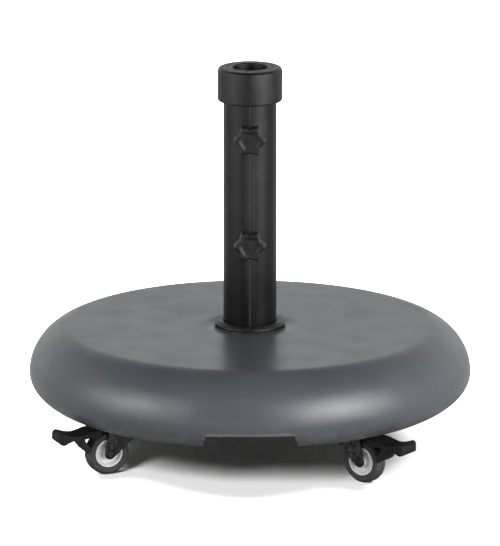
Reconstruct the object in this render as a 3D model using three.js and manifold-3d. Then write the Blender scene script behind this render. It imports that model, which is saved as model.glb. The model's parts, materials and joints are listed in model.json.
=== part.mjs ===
// Rolling parasol base: a concrete-filled disc on four braked swivel castors, with a steel stem that
// clamps a 38 mm parasol pole. Millimetres, +Z up, origin on the floor under the stem's axis.
// The side with the two clamp knobs faces -Y.
import * as THREE from "three";
import { mergeVertices } from "three/addons/utils/BufferGeometryUtils.js";
import Module from "manifold-3d";

const wasm = await Module();
wasm.setup();

// ---- driving dimensions -------------------------------------------------------------------------

const GAP = 0.3; // space left between pieces that touch
const WHEEL_R = 25;

// disc
const DISC_R = 250; // widest point
const DISC_WIDEST_Z = 90;
const DISC_TOP_Z = 142.5;
const DISC_FLAT_R = 204; // where the flat top ends
const SEAT_R = 40.5; // shallow recess in the top, under the stem
const SEAT_DEPTH = 0.6;
const LIP_R = 225; // lower edge of the shell
const LIP_Z = 59;
const SHELL_WALL = 3;
const GRIP_WIDTH = 104; // finger notch in the lower edge, front and back
const GRIP_TOP_Z = 78;
const GRIP_DEPTH = 42; // how far the finger pocket runs into the concrete

// stem
const STEM_R = 30;
const STEM_WALL = 2;
const COLLAR_R = 36.5;
const COLLAR_BOTTOM_Z = 402;
const STEM_TOP_Z = 440;
const ROSETTE_R = 39;
const ROSETTE_HEIGHT = 6;
const POLE_BORE_R = 19.6; // takes a 38 mm pole
const SLEEVE_R = 26; // outside of the reducer sleeve
const FLANGE_R = 34; // foot plate that carries the tube
const FLANGE_THICKNESS = 3;
const SHOULDER_Z = 170; // carries the pole seat ring
const SPIGOT_TOP_Z = 172; // the pole rests here

// clamp knobs
const KNOB_Z = [368, 247]; // upper, lower
const KNOB_R = 18;
const SCREW_R = 4.9; // M10
const SCREW_NOSE_R = 3;
const PAD_FACE = 19.5; // pad face to stem axis
const PAD_THICKNESS = 3;
const HEAD_INNER = 47; // inner face of the knob head to stem axis
const HEAD_THICKNESS = 16;

// cross frame and castors
const BAR_WIDTH = 40;
const BAR_THICKNESS = 3;
const BAR_Z = 63.3; // underside of the bars
const BOLT_R = 6; // centre bolt, M12
const CASTOR_CIRCLE_R = 174;
const TRAIL = 25; // swivel axis to wheel axle
const PLATE_SIDE = 52;
const PLATE_THICKNESS = 2.5;
const CROWN_TOP_Z = 55.5;
const FORK_SHEET = 2;
const FORK_INNER = 9.6; // half the space between the fork legs
const KINGPIN_R = 4.7;
const CROWN_R = 20; // round top of the fork
const AXLE_R = 3;
const AXLE_EYE_R = 6.2; // rounded end of a fork leg
const HUB_R = 16;
const TYRE_HALF_WIDTH = 8.5;
const PEDAL_PIVOT = { x: 12.2, z: 50.6 }; // from the swivel axis, and above the floor
const PEDAL_PIN_R = 1.6;
const PEDAL_NOSE = 87; // swivel axis to the pedal's outer end
const PEDAL_NOSE_R = 6.4;

// Where each castor stands, and where its wheel trails to, in degrees from the front, to the right.
const CASTORS = {
  front_left: { place: -52, heading: -68 },
  front_right: { place: 38, heading: 55 },
  rear_right: { place: 128, heading: 143 },
  rear_left: { place: 218, heading: 204 },
};

// ---- materials ----------------------------------------------------------------------------------

function material(color, roughness, metalness) {
  return new THREE.MeshStandardMaterial({ color, roughness, metalness });
}

const SLATE_PLASTIC = material(0x6b6e74, 0.38, 0);
const BLACK_PLASTIC = material(0x17181a, 0.5, 0);
const BLACK_PAINT = material(0x1d1d1e, 0.4, 0.3);
const FORK_PAINT = material(0x121213, 0.45, 0.3);
const ZINC = material(0x9fa3a6, 0.35, 1);
const GREY_NYLON = material(0xa9abad, 0.5, 0);
const RUBBER = material(0x1b1b1c, 0.8, 0);
const CONCRETE = material(0x8d8a84, 0.95, 0);

// ---- solids -------------------------------------------------------------------------------------

function solid(geometry) {
  const plain = geometry.clone();
  plain.deleteAttribute("normal");
  plain.deleteAttribute("uv");
  const merged = mergeVertices(plain, 1e-4);
  return new wasm.Manifold(
    new wasm.Mesh({
      numProp: 3,
      vertProperties: new Float32Array(merged.attributes.position.array),
      triVerts: new Uint32Array(merged.index.array),
    }),
  );
}

function geometryOf(manifold) {
  const mesh = manifold.getMesh();
  const geometry = new THREE.BufferGeometry();
  geometry.setAttribute("position", new THREE.BufferAttribute(mesh.vertProperties, 3));
  geometry.setIndex(new THREE.BufferAttribute(mesh.triVerts, 1));
  return geometry;
}

function cut(geometry, ...tools) {
  return geometryOf(tools.reduce((rest, tool) => rest.subtract(solid(tool)), solid(geometry)));
}

function join(...geometries) {
  return geometryOf(geometries.map(solid).reduce((sum, next) => sum.add(next)));
}

function common(first, second) {
  return geometryOf(solid(first).intersect(solid(second)));
}

// Turns a profile of [radius, height] points about the Y axis. The points run anticlockwise. A
// profile that doesn't start on the axis is a ring, and is closed on itself.
function turned(points, segments) {
  const profile = points.map(([r, height]) => new THREE.Vector2(r, height));
  if (points[0][0] > 0) {
    profile.push(profile[0].clone());
  }
  return new THREE.LatheGeometry(profile, segments);
}

// The same about the Z axis.
function turnedUpright(points, segments) {
  return turned(points, segments).rotateX(Math.PI / 2);
}

function rod(radius, low, high, segments) {
  return turnedUpright([[0, low], [radius, low], [radius, high], [0, high]], segments);
}

// A rod along Y, centred on y = 0, through (x, z).
function crossRod(radius, length, x, z, segments) {
  return new THREE.CylinderGeometry(radius, radius, length, segments).translate(x, 0, z);
}

// A flat outline standing between two heights.
function slab(shape, low, high, curveSegments = 8) {
  const options = { depth: high - low, bevelEnabled: false, curveSegments };
  return new THREE.ExtrudeGeometry(shape, options).translate(0, 0, low);
}

// A side view, drawn as x and height, given a width along Y.
function sideView(shape, width, curveSegments = 6) {
  const options = { depth: width, bevelEnabled: false, curveSegments };
  return new THREE.ExtrudeGeometry(shape, options).rotateX(Math.PI / 2).translate(0, width / 2, 0);
}

function polygon(points) {
  return new THREE.Shape(points.map(([x, y]) => new THREE.Vector2(x, y)));
}

function box(sizeX, sizeY, low, high, x = 0, y = 0) {
  return new THREE.BoxGeometry(sizeX, sizeY, high - low).translate(x, y, (low + high) / 2);
}

function roundedRectangle(sizeX, sizeY, radius) {
  const shape = new THREE.Shape();
  const x = sizeX / 2 - radius;
  const y = sizeY / 2 - radius;
  shape.absarc(x, y, radius, 0, Math.PI / 2);
  shape.absarc(-x, y, radius, Math.PI / 2, Math.PI);
  shape.absarc(-x, -y, radius, Math.PI, Math.PI * 1.5);
  shape.absarc(x, -y, radius, Math.PI * 1.5, Math.PI * 2);
  return shape;
}

const parasolBase = new THREE.Group();

function place(name, geometry, look, group = parasolBase) {
  const mesh = new THREE.Mesh(geometry, look);
  mesh.name = name;
  group.add(mesh);
  return mesh;
}

// ---- disc ---------------------------------------------------------------------------------------

// The disc's outside from the lower edge up to the rim of the flat top, moved inwards by inset.
function discSide(inset, steps) {
  const side = new THREE.Path();
  side.moveTo(LIP_R, LIP_Z);
  side.bezierCurveTo(LIP_R, LIP_Z, DISC_R, DISC_WIDEST_Z - 21, DISC_R, DISC_WIDEST_Z);
  side.bezierCurveTo(DISC_R, DISC_WIDEST_Z + 30, DISC_FLAT_R + 20, DISC_TOP_Z, DISC_FLAT_R, DISC_TOP_Z);
  return Array.from({ length: steps + 1 }, (_, i) => {
    const point = side.getPointAt(i / steps);
    const along = side.getTangentAt(i / steps);
    return [point.x - along.y * inset, point.y + along.x * inset];
  });
}

// A finger pocket with round upper corners, running back along +Y from y = 0.
function gripPocket(width, depth, top) {
  const opening = new THREE.Shape();
  const corner = 8;
  opening.moveTo(-width / 2, 0);
  opening.lineTo(width / 2, 0);
  opening.lineTo(width / 2, top - corner);
  opening.absarc(width / 2 - corner, top - corner, corner, 0, Math.PI / 2);
  opening.absarc(corner - width / 2, top - corner, corner, Math.PI / 2, Math.PI);
  const options = { depth, bevelEnabled: false, curveSegments: 4 };
  return new THREE.ExtrudeGeometry(opening, options).rotateX(Math.PI / 2).translate(0, depth, 0);
}

// A pocket drawn running back from y = 0, moved so that it opens on the front, and its twin behind.
function frontAndBack(pocket, mouthY) {
  const front = pocket.translate(0, -mouthY, 0);
  return [front, front.clone().rotateZ(Math.PI)];
}

function coverShell() {
  const outside = discSide(0, 12);
  const inside = discSide(SHELL_WALL, 6).reverse();
  const hole = 20;
  const seat = DISC_TOP_Z - SEAT_DEPTH;
  const top = [[SEAT_R, DISC_TOP_Z], [SEAT_R, seat], [hole, seat], [hole, DISC_TOP_Z - SHELL_WALL]];
  const ring = [...outside, ...top, ...inside];
  const notch = gripPocket(GRIP_WIDTH, 60, GRIP_TOP_Z);
  return cut(turnedUpright(ring, 48), ...frontAndBack(notch, DISC_R + 10));
}

const CONCRETE_BOTTOM_Z = BAR_Z + BAR_THICKNESS + GAP;
const CROSSING_RECESS_R = 62;

function concreteCore() {
  const wall = discSide(SHELL_WALL + 2 * GAP, 6);
  const first = wall.findIndex(([, z]) => z > CONCRETE_BOTTOM_Z);
  const [[r0, z0], [r1, z1]] = wall.slice(first - 1, first + 1);
  const edge = r0 + ((r1 - r0) * (CONCRETE_BOTTOM_Z - z0)) / (z1 - z0);
  const recessTop = CONCRETE_BOTTOM_Z + BAR_THICKNESS + 2 * GAP;
  const hole = BOLT_R + 1;
  const top = DISC_TOP_Z - SHELL_WALL - GAP;
  const profile = [
    [hole, recessTop],
    [CROSSING_RECESS_R, recessTop],
    [CROSSING_RECESS_R, CONCRETE_BOTTOM_Z],
    [edge, CONCRETE_BOTTOM_Z],
    ...wall.slice(first),
    [hole, top],
  ];
  const pocket = gripPocket(GRIP_WIDTH - 4, GRIP_DEPTH, GRIP_TOP_Z + 10);
  return cut(turnedUpright(profile, 48), ...frontAndBack(pocket, DISC_R - 2));
}

place("cover_shell", coverShell(), SLATE_PLASTIC);
place("concrete_core", concreteCore(), CONCRETE);

// ---- cross frame and centre bolt ----------------------------------------------------------------

const frameTurn = THREE.MathUtils.degToRad(CASTORS.front_right.place - 90);
const BAR_REACH = CASTOR_CIRCLE_R + 28;

function lowerBar() {
  const outline = roundedRectangle(2 * BAR_REACH, BAR_WIDTH, 8);
  const boltHole = rod(BOLT_R + 0.5, BAR_Z - 1, BAR_Z + BAR_THICKNESS + 1, 24);
  return cut(slab(outline, BAR_Z, BAR_Z + BAR_THICKNESS, 3), boltHole);
}

// Steps up over the lower bar at the crossing, so that all four ends lie at one height.
function upperBar() {
  const low = BAR_Z;
  const step = BAR_THICKNESS + GAP;
  const rise = BAR_WIDTH / 2 + 4;
  const fall = rise + 9;
  const half = [[BAR_REACH, low], [BAR_REACH, low + BAR_THICKNESS], [fall, low + BAR_THICKNESS],
    [rise, low + step + BAR_THICKNESS]];
  const under = [[fall - 1, low], [rise - 1, low + step]];
  const mirror = ([x, z]) => [-x, z];
  const outline = polygon([
    under[0], half[0], half[1], half[2], half[3],
    mirror(half[3]), mirror(half[2]), mirror(half[1]), mirror(half[0]), mirror(under[0]),
    mirror(under[1]), under[1],
  ]);
  const strip = sideView(outline, BAR_WIDTH);
  return cut(strip, rod(BOLT_R + 0.5, low, low + 3 * BAR_THICKNESS, 24));
}

function centreBolt() {
  const headRadius = 19 / Math.sqrt(3);
  const headTop = BAR_Z - 3 - 2 * GAP;
  const head = rod(headRadius, headTop - 7.5, headTop, 6);
  return join(head, rod(BOLT_R, headTop - 4, 166, 24));
}

place("cross_bar_lower", lowerBar(), BLACK_PAINT).rotation.z = frameTurn;
place("cross_bar_upper", upperBar(), BLACK_PAINT).rotation.z = frameTurn + Math.PI / 2;
place("centre_bolt", centreBolt(), ZINC);
place(
  "centre_washer",
  turnedUpright(
    [[BOLT_R + 0.5, BAR_Z - 3 - GAP], [25, BAR_Z - 3 - GAP], [25, BAR_Z - GAP], [BOLT_R + 0.5, BAR_Z - GAP]],
    24,
  ),
  ZINC,
);

// ---- stem ---------------------------------------------------------------------------------------

const FOOT_Z = DISC_TOP_Z - SEAT_DEPTH + GAP;
const TUBE_BOTTOM_Z = FOOT_Z + FLANGE_THICKNESS + GAP;
const TUBE_TOP_Z = STEM_TOP_Z - 7;
const TUBE_INNER_R = STEM_R - STEM_WALL;

function stemFoot() {
  const thread = BOLT_R + GAP;
  const spigot = TUBE_INNER_R - GAP;
  const poleStop = POLE_BORE_R - 0.7;
  const flangeTop = FOOT_Z + FLANGE_THICKNESS;
  const profile = [
    [thread, FOOT_Z],
    [FLANGE_R, FOOT_Z],
    [FLANGE_R, flangeTop],
    [spigot, flangeTop],
    [spigot, SHOULDER_Z],
    [poleStop, SHOULDER_Z],
    [poleStop, SPIGOT_TOP_Z],
    [thread, SPIGOT_TOP_Z],
  ];
  return turnedUpright(profile, 20);
}

function stemTube() {
  const wall = [
    [TUBE_INNER_R, TUBE_BOTTOM_Z],
    [STEM_R, TUBE_BOTTOM_Z],
    [STEM_R, TUBE_TOP_Z],
    [TUBE_INNER_R, TUBE_TOP_Z],
  ];
  const holes = KNOB_Z.map((z) => crossRod(SCREW_R + 0.8, 20, 0, z, 12).translate(0, -STEM_R, 0));
  return cut(turnedUpright(wall, 32), ...holes);
}

function rosette() {
  const top = FOOT_Z + ROSETTE_HEIGHT;
  const roof = TUBE_BOTTOM_Z + 0.6;
  const recess = FLANGE_R + GAP;
  const profile = [
    [STEM_R + GAP, roof],
    [recess, roof],
    [recess, FOOT_Z],
    [ROSETTE_R, FOOT_Z],
    [ROSETTE_R, top - 3],
    [ROSETTE_R - 1, top - 1],
    [ROSETTE_R - 3, top],
    [STEM_R + GAP, top],
  ];
  return turnedUpright(profile, 28);
}

// A cap over the tube's upper end, with a step inside that holds the sleeve.
function collar() {
  const roof = TUBE_TOP_Z + GAP;
  const bore = SLEEVE_R + GAP;
  const outside = STEM_R + GAP;
  const profile = [
    [outside, COLLAR_BOTTOM_Z],
    [COLLAR_R - 1.5, COLLAR_BOTTOM_Z],
    [COLLAR_R, COLLAR_BOTTOM_Z + 1.5],
    [COLLAR_R, STEM_TOP_Z - 5],
    [COLLAR_R - 1.5, STEM_TOP_Z - 1.5],
    [COLLAR_R - 5, STEM_TOP_Z],
    [bore, STEM_TOP_Z],
    [bore, roof],
    [outside, roof],
  ];
  return turnedUpright(profile, 28);
}

function reducerSleeve() {
  const low = COLLAR_BOTTOM_Z - 4;
  const profile = [
    [POLE_BORE_R, low],
    [SLEEVE_R, low],
    [SLEEVE_R, STEM_TOP_Z - 1.5],
    [SLEEVE_R - 1.5, STEM_TOP_Z],
    [POLE_BORE_R + 1.5, STEM_TOP_Z],
    [POLE_BORE_R, STEM_TOP_Z - 1.5],
  ];
  return turnedUpright(profile, 28);
}

function poleSeat() {
  const low = SHOULDER_Z + GAP;
  const high = low + 26;
  const outside = TUBE_INNER_R - GAP;
  const profile = [
    [POLE_BORE_R, low],
    [outside, low],
    [outside, high],
    [POLE_BORE_R + 3, high],
    [POLE_BORE_R, high - 5],
  ];
  return turnedUpright(profile, 28);
}

place("stem_foot", stemFoot(), ZINC);
place("stem_tube", stemTube(), BLACK_PAINT);
place("stem_rosette", rosette(), BLACK_PLASTIC);
place("tube_collar", collar(), BLACK_PLASTIC);
place("reducer_sleeve", reducerSleeve(), BLACK_PLASTIC);
place("pole_seat_ring", poleSeat(), BLACK_PLASTIC);

// ---- clamp knobs --------------------------------------------------------------------------------

const BOSS_END = HEAD_INNER - 5.5;

// A threaded boss welded on the tube, with its inner end cut to the tube's curve.
function clampBoss() {
  const thread = SCREW_R + GAP + 0.1;
  const wall = [
    [thread, -BOSS_END],
    [9, -BOSS_END],
    [10, 1 - BOSS_END],
    [10, 3 - STEM_R],
    [thread, 3 - STEM_R],
  ];
  return cut(turned(wall, 16), rod(STEM_R + GAP, -20, 20, 32));
}

function clampPad() {
  const back = -PAD_FACE - PAD_THICKNESS;
  const socket = SCREW_NOSE_R + GAP;
  const profile = [
    [0, 1 - PAD_FACE - 2],
    [socket, 1 - PAD_FACE - 2],
    [socket, back],
    [7, back],
    [8, back + 1],
    [8, -PAD_FACE],
    [0, -PAD_FACE],
  ];
  return turned(profile, 14);
}

const SCREW_END = HEAD_INNER + 9; // how deep the screw sits in the knob

function clampScrew() {
  const shoulder = -PAD_FACE - PAD_THICKNESS - GAP;
  const profile = [
    [0, -SCREW_END],
    [SCREW_R, -SCREW_END],
    [SCREW_R, shoulder - 1],
    [SCREW_R - 1, shoulder],
    [SCREW_NOSE_R, shoulder],
    [SCREW_NOSE_R, -PAD_FACE - 1.3],
    [0, -PAD_FACE - 1.3],
  ];
  return turned(profile, 14);
}

// A six-lobed hand knob: the outline swells and narrows round the circle.
function knobHead() {
  const lobes = 6;
  const steps = 36;
  const outline = polygon(
    Array.from({ length: steps }, (_, i) => {
      const angle = (i / steps) * 2 * Math.PI;
      const radius = KNOB_R - 1 - 1.7 * (1 - Math.cos(lobes * angle));
      return [radius * Math.cos(angle), radius * Math.sin(angle)];
    }),
  );
  const bevel = 2;
  const grip = new THREE.ExtrudeGeometry(outline, {
    depth: HEAD_THICKNESS - 3 - 2 * bevel,
    bevelThickness: bevel,
    bevelSize: 1,
    bevelSegments: 2,
    curveSegments: 1,
  });
  grip.rotateX(Math.PI / 2).translate(0, -HEAD_INNER - 3 - bevel, 0);
  const hub = turned([[0, -HEAD_INNER - 6], [10, -HEAD_INNER - 6], [9, -HEAD_INNER], [0, -HEAD_INNER]], 16);
  const socketRadius = SCREW_R + GAP;
  const socketEnd = -SCREW_END - GAP;
  const socket = turned(
    [[0, socketEnd], [socketRadius, socketEnd], [socketRadius, 1 - HEAD_INNER], [0, 1 - HEAD_INNER]],
    14,
  );
  return cut(join(grip, hub), socket);
}

["upper", "lower"].forEach((level, i) => {
  const group = new THREE.Group();
  group.position.z = KNOB_Z[i];
  parasolBase.add(group);
  place(`clamp_pad_${level}`, clampPad(), BLACK_PLASTIC, group);
  place(`clamp_screw_${level}`, clampScrew(), ZINC, group);
  place(`knob_head_${level}`, knobHead(), BLACK_PLASTIC, group);
  place(`clamp_boss_${level}`, clampBoss(), BLACK_PAINT, group);
});

// ---- castors ------------------------------------------------------------------------------------
// Each castor is drawn with its swivel axis on Z and its wheel trailing along +X.

const PLATE_TOP_Z = BAR_Z - GAP;
const PLATE_BOTTOM_Z = PLATE_TOP_Z - PLATE_THICKNESS;
const CROWN_BOTTOM_Z = CROWN_TOP_Z - FORK_SHEET;

function castorPlate() {
  const outline = roundedRectangle(PLATE_SIDE, PLATE_SIDE, 6);
  const hole = rod(KINGPIN_R + GAP, PLATE_BOTTOM_Z - 1, PLATE_TOP_Z + 1, 12);
  return cut(slab(outline, PLATE_BOTTOM_Z, PLATE_TOP_Z, 3), hole);
}

function swivelBearing() {
  const low = CROWN_TOP_Z + GAP;
  const high = PLATE_BOTTOM_Z - GAP;
  const bore = KINGPIN_R + 2 * GAP;
  const profile = [[bore, low], [18, low], [21, low + 2.3], [19, high], [bore, high]];
  return turnedUpright(profile, 20);
}

function kingpin() {
  const headTop = CROWN_BOTTOM_Z - GAP;
  const profile = [
    [0, headTop - 3.7],
    [4, headTop - 3.7],
    [6, headTop - 2.2],
    [6, headTop],
    [KINGPIN_R, headTop],
    [KINGPIN_R, PLATE_TOP_Z - 0.1],
    [0, PLATE_TOP_Z - 0.1],
  ];
  return turnedUpright(profile, 12);
}

// Bent sheet: a round crown with two broad legs that end in a round eye at the axle.
function fork() {
  const side = new THREE.Shape();
  side.moveTo(-14, CROWN_TOP_Z);
  side.lineTo(-14, CROWN_TOP_Z - 5);
  side.absarc(TRAIL, WHEEL_R, AXLE_EYE_R, Math.PI * 1.22, Math.PI * 2.04);
  side.lineTo(26, CROWN_TOP_Z - 5);
  side.lineTo(19, CROWN_BOTTOM_Z);
  side.lineTo(18, CROWN_TOP_Z);
  const between = box(80, 2 * FORK_INNER, 0, CROWN_BOTTOM_Z, 20);
  const legs = cut(sideView(side, 2 * (FORK_INNER + FORK_SHEET), 5), between);
  const crown = rod(CROWN_R, CROWN_BOTTOM_Z, CROWN_TOP_Z, 24);
  return cut(
    join(legs, crown),
    rod(KINGPIN_R + GAP, CROWN_BOTTOM_Z - 1, CROWN_TOP_Z + 1, 12),
    crossRod(AXLE_R + GAP, 40, TRAIL, WHEEL_R, 10),
    crossRod(PEDAL_PIN_R + GAP, 40, PEDAL_PIVOT.x, PEDAL_PIVOT.z, 8),
  );
}

// A pin along Y with a formed head outside each fork leg.
function rivet(radius, headRadius, headHeight, segments) {
  const leg = FORK_INNER + FORK_SHEET + GAP;
  const end = leg + headHeight;
  const profile = [
    [0, -end],
    [headRadius - 0.8, -end],
    [headRadius, -leg],
    [radius, -leg],
    [radius, leg],
    [headRadius, leg],
    [headRadius - 0.8, end],
    [0, end],
  ];
  return turned(profile, segments);
}

function hub() {
  const bore = AXLE_R + 0.35;
  const boss = FORK_INNER - 0.4;
  const half = [[bore, boss], [5.5, boss], [6, 5], [HUB_R - 3, 4.2], [HUB_R - 2, 8], [HUB_R, 8]];
  const lower = half.map(([r, y]) => [r, -y]);
  return turned([...lower, ...half.reverse()], 20);
}

function tyre() {
  const inner = HUB_R + GAP;
  const edge = TYRE_HALF_WIDTH;
  const half = [[inner, edge - 0.3], [WHEEL_R - 2.4, edge], [WHEEL_R - 0.5, edge - 2], [WHEEL_R, edge - 5]];
  const lower = half.map(([r, y]) => [r, -y]);
  return turned([...lower, ...half.reverse()], 24);
}

// The pedal runs from its pin over the wheel to a round nose. Below it hangs the brake leg, which
// meets the tread behind the wheel. It is drawn pressed.
function pedal() {
  const { x, z } = PEDAL_PIVOT;
  const noseX = PEDAL_NOSE - PEDAL_NOSE_R;
  const noseZ = 47;
  const side = new THREE.Shape();
  side.absarc(x, z, 2.6, Math.PI * 0.5, Math.PI * 1.5);
  side.lineTo(28, 45.6);
  side.lineTo(45, 42.2);
  side.lineTo(46.5, 46);
  side.lineTo(57.5, 46);
  side.lineTo(48, 33);
  side.lineTo(48, 29);
  side.lineTo(52.8, 29);
  side.lineTo(65, 45);
  side.quadraticCurveTo(71, 45, noseX - 4.5, noseZ - 4.5);
  side.absarc(noseX, noseZ, PEDAL_NOSE_R, Math.PI * 1.25, Math.PI * 2.58);
  side.quadraticCurveTo(68, 49, 62, 49.6);
  side.quadraticCurveTo(55, 50.5, 45, 53.4);
  side.lineTo(23, 54);
  side.lineTo(20, 52);
  const neck = FORK_INNER - 0.4;
  const wing = 14;
  const plan = new THREE.Shape();
  plan.moveTo(0, -neck);
  plan.lineTo(30, -neck);
  plan.lineTo(36, -wing);
  plan.absarc(PEDAL_NOSE - 7, -wing + 7, 7, Math.PI * 1.5, Math.PI * 2);
  plan.absarc(PEDAL_NOSE - 7, wing - 7, 7, 0, Math.PI * 0.5);
  plan.lineTo(36, wing);
  plan.lineTo(30, neck);
  plan.lineTo(0, neck);
  const lever = common(sideView(side, 2 * wing + 2, 6), slab(plan, 25, 60, 4));
  return cut(
    lever,
    crossRod(WHEEL_R + GAP, 40, TRAIL, WHEEL_R, 36),
    crossRod(PEDAL_PIN_R + GAP, 40, x, z, 8),
  );
}

for (const [corner, { place: around, heading }] of Object.entries(CASTORS)) {
  const angle = THREE.MathUtils.degToRad(around);
  const fixed = new THREE.Group();
  fixed.position.set(CASTOR_CIRCLE_R * Math.sin(angle), -CASTOR_CIRCLE_R * Math.cos(angle), 0);
  fixed.rotation.z = angle - Math.PI / 2;
  parasolBase.add(fixed);
  place(`castor_plate_${corner}`, castorPlate(), ZINC, fixed);
  place(`swivel_bearing_${corner}`, swivelBearing(), ZINC, fixed);
  place(`kingpin_${corner}`, kingpin(), ZINC, fixed);

  const trailing = new THREE.Group();
  trailing.rotation.z = THREE.MathUtils.degToRad(heading - around);
  fixed.add(trailing);
  place(`fork_${corner}`, fork(), FORK_PAINT, trailing);
  place(`brake_pedal_${corner}`, pedal(), BLACK_PLASTIC, trailing);

  const pedalPin = place(`pedal_pin_${corner}`, rivet(PEDAL_PIN_R, 2.8, 1, 8), ZINC, trailing);
  pedalPin.position.set(PEDAL_PIVOT.x, 0, PEDAL_PIVOT.z);

  const wheel = new THREE.Group();
  wheel.position.set(TRAIL, 0, WHEEL_R);
  trailing.add(wheel);
  place(`axle_${corner}`, rivet(AXLE_R, 4.8, 1.4, 10), BLACK_PAINT, wheel);
  place(`hub_${corner}`, hub(), GREY_NYLON, wheel);
  place(`tyre_${corner}`, tyre(), RUBBER, wheel);
}

export default parasolBase;
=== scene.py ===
import json
import math

import bmesh
import bpy
from mathutils import Matrix, Vector


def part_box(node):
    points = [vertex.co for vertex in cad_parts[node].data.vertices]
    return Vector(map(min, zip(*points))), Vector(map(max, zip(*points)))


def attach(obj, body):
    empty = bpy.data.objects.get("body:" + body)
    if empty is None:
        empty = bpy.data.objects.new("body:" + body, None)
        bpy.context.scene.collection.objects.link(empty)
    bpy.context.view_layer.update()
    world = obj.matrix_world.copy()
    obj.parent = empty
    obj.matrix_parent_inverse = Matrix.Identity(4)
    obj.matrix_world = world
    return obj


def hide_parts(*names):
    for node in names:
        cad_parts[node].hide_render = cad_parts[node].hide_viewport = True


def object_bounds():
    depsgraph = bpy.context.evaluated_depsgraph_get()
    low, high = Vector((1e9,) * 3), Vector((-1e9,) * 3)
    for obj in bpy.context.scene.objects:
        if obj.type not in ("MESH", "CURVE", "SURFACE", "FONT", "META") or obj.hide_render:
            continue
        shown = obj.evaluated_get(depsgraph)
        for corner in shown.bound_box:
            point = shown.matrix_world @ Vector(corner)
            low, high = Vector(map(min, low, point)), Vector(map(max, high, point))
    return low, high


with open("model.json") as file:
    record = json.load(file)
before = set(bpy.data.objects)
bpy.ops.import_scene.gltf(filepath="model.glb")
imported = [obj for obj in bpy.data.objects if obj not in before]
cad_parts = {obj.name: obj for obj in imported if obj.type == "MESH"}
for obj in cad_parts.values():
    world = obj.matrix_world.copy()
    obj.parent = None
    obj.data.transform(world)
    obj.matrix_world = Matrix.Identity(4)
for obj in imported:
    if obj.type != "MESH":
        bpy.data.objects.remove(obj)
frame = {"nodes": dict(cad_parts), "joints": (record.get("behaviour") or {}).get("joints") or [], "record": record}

cad_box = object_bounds()
MM = 0.001
CORNERS = ("front_left", "front_right", "rear_right", "rear_left")
LEVELS = ("upper", "lower")
JOINTS = {joint["name"]: joint for joint in frame["joints"]}
RECORD = frame["record"]
BODY_OF = {node: body for body, nodes in RECORD["behaviour"]["bodies"].items() for node in nodes}


# ---- outlines -----------------------------------------------------------------------------------

def arc(centre_x, centre_y, radius, start, end, steps=10):
    """Points on a circle between two angles in degrees."""
    angles = [math.radians(start + (end - start) * i / steps) for i in range(steps + 1)]
    return [(centre_x + radius * math.cos(a), centre_y + radius * math.sin(a)) for a in angles]


def bezier(p0, p1, p2, p3, steps):
    """Points on a cubic curve, both ends included."""
    points = []
    for i in range(steps + 1):
        t = i / steps
        weights = ((1 - t) ** 3, 3 * t * (1 - t) ** 2, 3 * t * t * (1 - t), t ** 3)
        points.append(tuple(sum(w * p[k] for w, p in zip(weights, (p0, p1, p2, p3))) for k in (0, 1)))
    return points


def rounded(points, steps=5, closed=True):
    """An outline whose points (x, y, radius) each get a round corner of that radius."""
    result = []
    count = len(points)
    for i, (x, y, radius) in enumerate(points):
        at_end = not closed and i in (0, count - 1)
        if radius <= 0 or at_end:
            result.append((x, y))
            continue
        here = Vector((x, y))
        before = Vector(points[i - 1][:2]) - here
        after = Vector(points[(i + 1) % count][:2]) - here
        half = before.angle(after) / 2
        reach = min(radius / math.tan(half), before.length * 0.49, after.length * 0.49)
        start = here + before.normalized() * reach
        end = here + after.normalized() * reach
        for k in range(steps + 1):
            t = k / steps
            bend = start * (1 - t) ** 2 + here * 2 * t * (1 - t) + end * t * t
            result.append((bend.x, bend.y))
    return result


# ---- meshes -------------------------------------------------------------------------------------

def mesh_from(name, build):
    """A mesh made by a function that fills a bmesh."""
    bm = bmesh.new()
    build(bm)
    bmesh.ops.remove_doubles(bm, verts=bm.verts, dist=1e-7)
    bmesh.ops.recalc_face_normals(bm, faces=bm.faces)
    mesh = bpy.data.meshes.new(name)
    bm.to_mesh(mesh)
    bm.free()
    return mesh


def object_from(name, mesh, matrix=None):
    """An object in the scene; the matrix, if any, is worked into its mesh."""
    obj = bpy.data.objects.new(name, mesh)
    bpy.context.scene.collection.objects.link(obj)
    if matrix is not None:
        mesh.transform(matrix)
    return obj


def rings(name, layers, capped=False):
    """A skin over rings of points that all have the same count. Uncapped, the last ring meets the first."""
    def build(bm):
        loops = [[bm.verts.new(p) for p in layer] for layer in layers]
        count = len(loops[0])
        pairs = list(zip(loops, loops[1:]))
        if not capped:
            pairs.append((loops[-1], loops[0]))
        for lower, upper in pairs:
            for i in range(count):
                j = (i + 1) % count
                bm.faces.new((lower[i], lower[j], upper[j], upper[i]))
        if capped:
            bm.faces.new(reversed(loops[0]))
            bm.faces.new(loops[-1])
    return mesh_from(name, build)


def turned(name, profile, segments=96, solid=False):
    """A profile of (radius, height) turned about Z. A solid one starts and ends on the axis."""
    turns = [2 * math.pi * i / segments for i in range(segments)]
    if not solid:
        return rings(name, [[(r * math.cos(a), r * math.sin(a), h) for a in turns] for r, h in profile])

    def build(bm):
        bottom = bm.verts.new((0, 0, profile[0][1]))
        top = bm.verts.new((0, 0, profile[-1][1]))
        loops = [[bm.verts.new((r * math.cos(a), r * math.sin(a), h)) for a in turns]
                 for r, h in profile[1:-1]]
        for i in range(segments):
            j = (i + 1) % segments
            bm.faces.new((bottom, loops[0][j], loops[0][i]))
            bm.faces.new((top, loops[-1][i], loops[-1][j]))
            for lower, upper in zip(loops, loops[1:]):
                bm.faces.new((lower[i], lower[j], upper[j], upper[i]))
    return mesh_from(name, build)


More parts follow.
